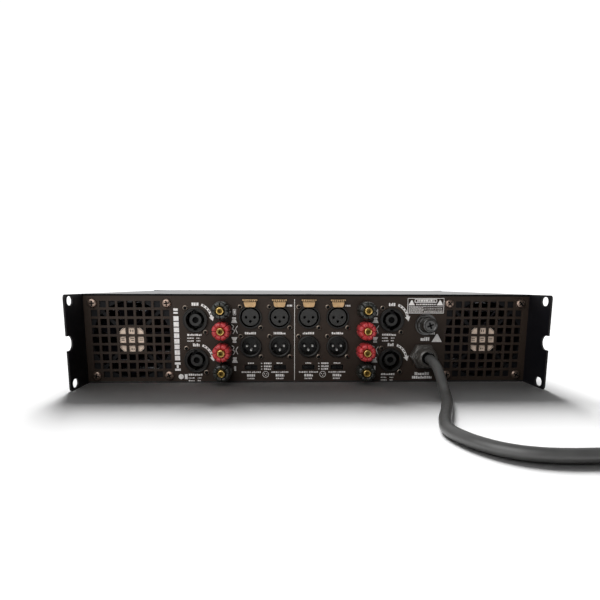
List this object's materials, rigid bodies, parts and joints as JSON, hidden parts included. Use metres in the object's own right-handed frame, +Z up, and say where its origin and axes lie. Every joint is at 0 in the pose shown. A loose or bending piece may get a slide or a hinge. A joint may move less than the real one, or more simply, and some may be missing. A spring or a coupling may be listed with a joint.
{
  "type": "power amplifier",
  "caption": "Rack-mounted power amplifier, two units high, with rear fans, speaker outlets, binding posts, balanced inputs with links, rear rack supports and a mains lead.",
  "frame": {"origin": "centre of the bounding box, on the underside of the base plate, without the mains lead", "axes": "+X to the right as seen from behind, +Y towards the front panel, +Z up"},
  "size_m": [0.5917, 0.6085, 0.088],
  "materials": {
    "case_black": "fine-textured powder coat",
    "wing_black": "fine-textured powder coat",
    "panel_black": "satin powder coat",
    "front_black": "satin coat on thick aluminium",
    "grille_black": "satin coat",
    "filter_foam": "open-cell foam",
    "handle_black": "satin coat",
    "screw_black": "blackened steel",
    "screw_nickel": "dark nickel",
    "fan_black": "moulded, glass-filled",
    "rotor_black": "moulded, slightly glossy",
    "board_green": "solder mask",
    "heatsink_aluminium": "extruded",
    "winding_copper": "enamelled winding",
    "capacitor_sleeve": "shrink sleeve",
    "connector_black": "moulded nylon",
    "insert_grey": "moulded nylon",
    "latch_gold": "pale gold plating",
    "pin_silver": "silver plating",
    "post_red": "clear-tinted, polished",
    "post_black": "polished",
    "stem_gold": "gold plating",
    "switch_black": "moulded",
    "fuse_black": "moulded phenolic",
    "fuse_glass": "clear tube with metal ends",
    "gland_black": "moulded nylon",
    "knob_black": "moulded",
    "led_window": "smoked acrylic",
    "lead_grey": "smooth PVC sheath",
    "plug_black": "moulded PVC",
    "print_white": "screen-printed ink",
    "label_cream": "paper label"
  },
  "bodies": {
    "chassis": {"base_plate": "case_black", "side_plate_left": "wing_black", "side_plate_right": "wing_black", "top_cover": "case_black", "rear_panel": "panel_black", "front_panel": "front_black", "front_grilles": "grille_black", "dust_filters": "filter_foam", "handle_left": "handle_black", "handle_right": "handle_black", "case_screws": "screw_black", "rear_screws": "screw_nickel", "fan_frame_left": "fan_black", "fan_frame_right": "fan_black", "main_board": "board_green", "input_board": "board_green", "heatsinks": "heatsink_aluminium", "transformer": "winding_copper", "capacitors": "capacitor_sleeve", "speaker_sockets": "connector_black", "speaker_inserts": "insert_grey", "xlr_inputs": "connector_black", "xlr_inserts": "insert_grey", "xlr_links": "connector_black", "xlr_pins": "pin_silver", "post_bases": "post_black", "post_stems": "stem_gold", "slide_switches": "switch_black", "fuse_holder": "fuse_black", "fuse": "fuse_glass", "cable_gland": "gland_black", "rocker_frame": "switch_black", "led_windows": "led_window", "mains_lead": "lead_grey", "mains_coil": "lead_grey", "mains_plug": "plug_black"},
    "fan_rotor_left": {"fan_rotor_left": "rotor_black"},
    "fan_rotor_right": {"fan_rotor_right": "rotor_black"},
    "xlr_latch_1": {"xlr_latch_1": "latch_gold"},
    "xlr_latch_2": {"xlr_latch_2": "latch_gold"},
    "xlr_latch_3": {"xlr_latch_3": "latch_gold"},
    "xlr_latch_4": {"xlr_latch_4": "latch_gold"},
    "post_cap_1": {"post_cap_1": "post_black"},
    "post_cap_2": {"post_cap_2": "post_red"},
    "post_cap_3": {"post_cap_3": "post_red"},
    "post_cap_4": {"post_cap_4": "post_black"},
    "post_cap_5": {"post_cap_5": "post_black"},
    "post_cap_6": {"post_cap_6": "post_red"},
    "post_cap_7": {"post_cap_7": "post_red"},
    "post_cap_8": {"post_cap_8": "post_black"},
    "slide_knob_1": {"slide_knob_1": "switch_black"},
    "slide_knob_2": {"slide_knob_2": "switch_black"},
    "slide_knob_3": {"slide_knob_3": "switch_black"},
    "slide_knob_4": {"slide_knob_4": "switch_black"},
    "fuse_cap": {"fuse_cap": "fuse_black"},
    "gain_knob_1": {"gain_knob_1": "knob_black"},
    "gain_knob_2": {"gain_knob_2": "knob_black"},
    "gain_knob_3": {"gain_knob_3": "knob_black"},
    "gain_knob_4": {"gain_knob_4": "knob_black"},
    "power_rocker": {"power_rocker": "switch_black"}
  },
  "joints": [
    {"name": "fan_spin_left", "type": "hinge", "parent": "chassis", "child": "fan_rotor_left", "pos_m": [-0.175, -0.15, 0.0432], "axis": [0, -1, 0], "continuous": true},
    {"name": "fan_spin_right", "type": "hinge", "parent": "chassis", "child": "fan_rotor_right", "pos_m": [0.175, -0.15, 0.0432], "axis": [0, -1, 0], "continuous": true},
    {"name": "latch_push_1", "type": "slide", "parent": "chassis", "child": "xlr_latch_1", "axis": [0, 1, 0], "range_m": [0, 0.0015], "stiffness_N_per_m": 500, "springref_m": -0.001},
    {"name": "latch_push_2", "type": "slide", "parent": "chassis", "child": "xlr_latch_2", "axis": [0, 1, 0], "range_m": [0, 0.0015], "stiffness_N_per_m": 500, "springref_m": -0.001},
    {"name": "latch_push_3", "type": "slide", "parent": "chassis", "child": "xlr_latch_3", "axis": [0, 1, 0], "range_m": [0, 0.0015], "stiffness_N_per_m": 500, "springref_m": -0.001},
    {"name": "latch_push_4", "type": "slide", "parent": "chassis", "child": "xlr_latch_4", "axis": [0, 1, 0], "range_m": [0, 0.0015], "stiffness_N_per_m": 500, "springref_m": -0.001},
    {"name": "post_unscrew_1", "type": "slide", "parent": "chassis", "child": "post_cap_1", "axis": [0, -1, 0], "range_m": [0, 0.006]},
    {"name": "post_unscrew_2", "type": "slide", "parent": "chassis", "child": "post_cap_2", "axis": [0, -1, 0], "range_m": [0, 0.006]},
    {"name": "post_unscrew_3", "type": "slide", "parent": "chassis", "child": "post_cap_3", "axis": [0, -1, 0], "range_m": [0, 0.006]},
    {"name": "post_unscrew_4", "type": "slide", "parent": "chassis", "child": "post_cap_4", "axis": [0, -1, 0], "range_m": [0, 0.006]},
    {"name": "post_unscrew_5", "type": "slide", "parent": "chassis", "child": "post_cap_5", "axis": [0, -1, 0], "range_m": [0, 0.006]},
    {"name": "post_unscrew_6", "type": "slide", "parent": "chassis", "child": "post_cap_6", "axis": [0, -1, 0], "range_m": [0, 0.006]},
    {"name": "post_unscrew_7", "type": "slide", "parent": "chassis", "child": "post_cap_7", "axis": [0, -1, 0], "range_m": [0, 0.006]},
    {"name": "post_unscrew_8", "type": "slide", "parent": "chassis", "child": "post_cap_8", "axis": [0, -1, 0], "range_m": [0, 0.006]},
    {"name": "switch_slide_1", "type": "slide", "parent": "chassis", "child": "slide_knob_1", "axis": [1, 0, 0], "range_m": [0, 0.006]},
    {"name": "switch_slide_2", "type": "slide", "parent": "chassis", "child": "slide_knob_2", "axis": [1, 0, 0], "range_m": [0, 0.006]},
    {"name": "switch_slide_3", "type": "slide", "parent": "chassis", "child": "slide_knob_3", "axis": [1, 0, 0], "range_m": [0, 0.006]},
    {"name": "switch_slide_4", "type": "slide", "parent": "chassis", "child": "slide_knob_4", "axis": [1, 0, 0], "range_m": [0, 0.006]},
    {"name": "fuse_turn", "type": "hinge", "parent": "chassis", "child": "fuse_cap", "pos_m": [0.116, -0.18, 0.0585], "axis": [0, -1, 0], "range_deg": [0, 90]},
    {"name": "gain_turn_1", "type": "hinge", "parent": "chassis", "child": "gain_knob_1", "pos_m": [-0.051, 0.18, 0.056], "axis": [0, 1, 0], "range_deg": [-150, 150]},
    {"name": "gain_turn_2", "type": "hinge", "parent": "chassis", "child": "gain_knob_2", "pos_m": [-0.017, 0.18, 0.056], "axis": [0, 1, 0], "range_deg": [-150, 150]},
    {"name": "gain_turn_3", "type": "hinge", "parent": "chassis", "child": "gain_knob_3", "pos_m": [0.017, 0.18, 0.056], "axis": [0, 1, 0], "range_deg": [-150, 150]},
    {"name": "gain_turn_4", "type": "hinge", "parent": "chassis", "child": "gain_knob_4", "pos_m": [0.051, 0.18, 0.056], "axis": [0, 1, 0], "range_deg": [-150, 150]},
    {"name": "power_rock", "type": "hinge", "parent": "chassis", "child": "power_rocker", "pos_m": [0, 0.175, 0.017], "axis": [1, 0, 0], "range_deg": [-16, 0]}
  ]
}
